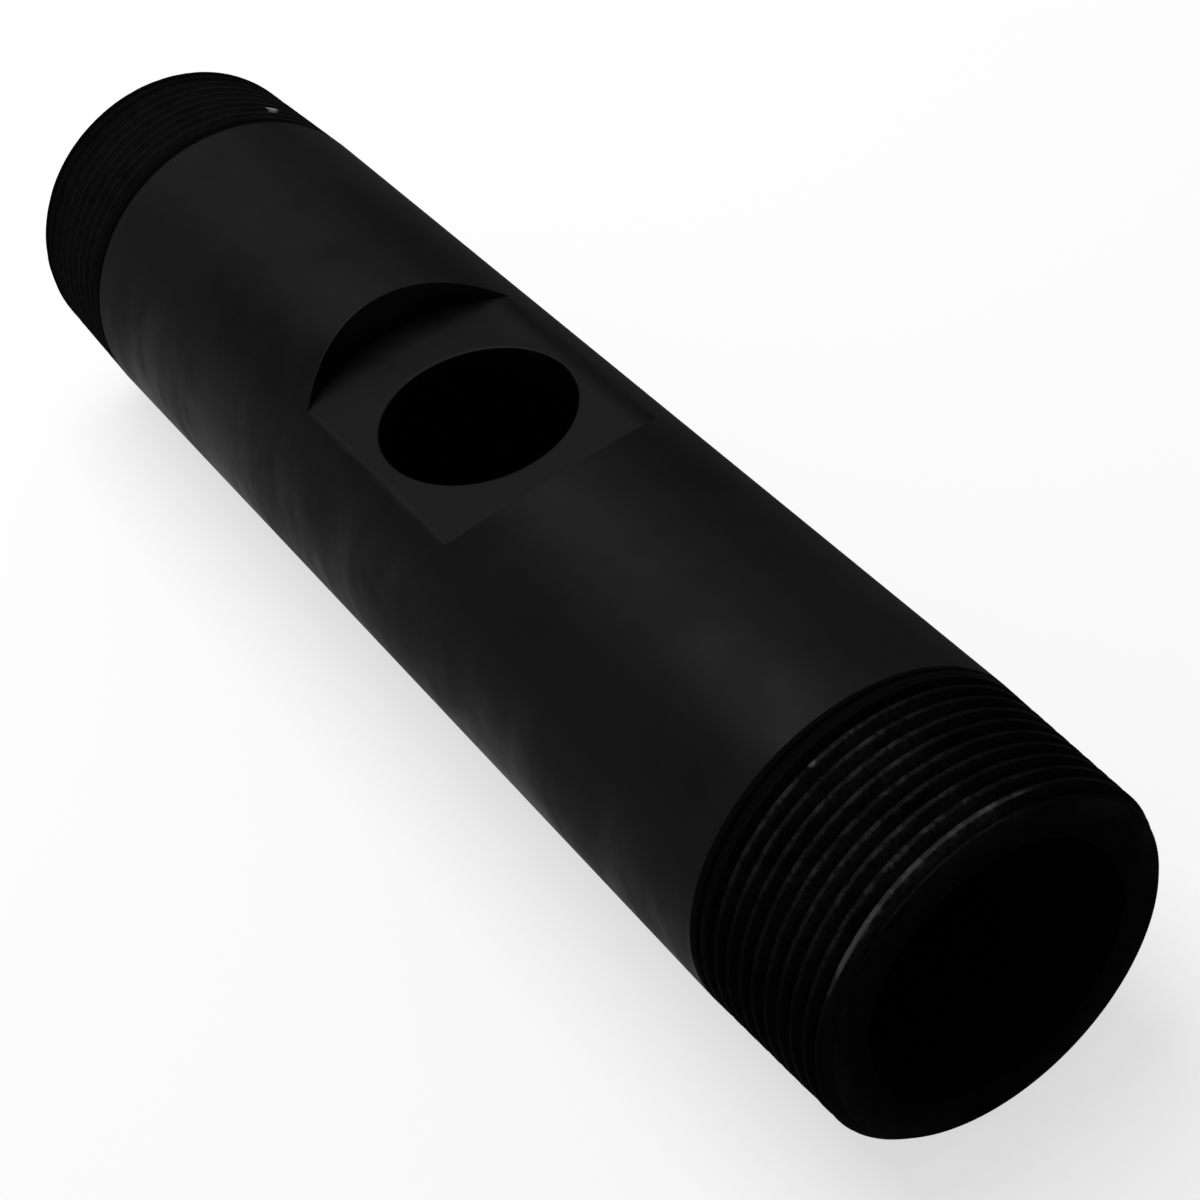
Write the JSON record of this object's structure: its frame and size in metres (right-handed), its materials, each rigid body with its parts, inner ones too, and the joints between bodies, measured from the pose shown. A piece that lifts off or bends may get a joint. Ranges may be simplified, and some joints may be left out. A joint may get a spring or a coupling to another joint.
{
  "type": "threaded pipe nipple",
  "caption": "Straight heavy-wall pipe with tapered male pipe threads at its ends and a spot-faced round port in its side, for joining fittings with an outlet between them.",
  "frame": {"origin": "on the pipe's axis, halfway along it", "axes": "+X along the pipe's axis, +Z out of the side port, square to its spot-faced floor, +Y to the left of someone looking along +X with the port up"},
  "size_m": [0.2032, 0.0482, 0.0482],
  "materials": {
    "black_coat": "satin black coat on steel, thinner and darker on the threads"
  },
  "bodies": {
    "root": {"pipe": "black_coat"}
  },
  "joints": []
}
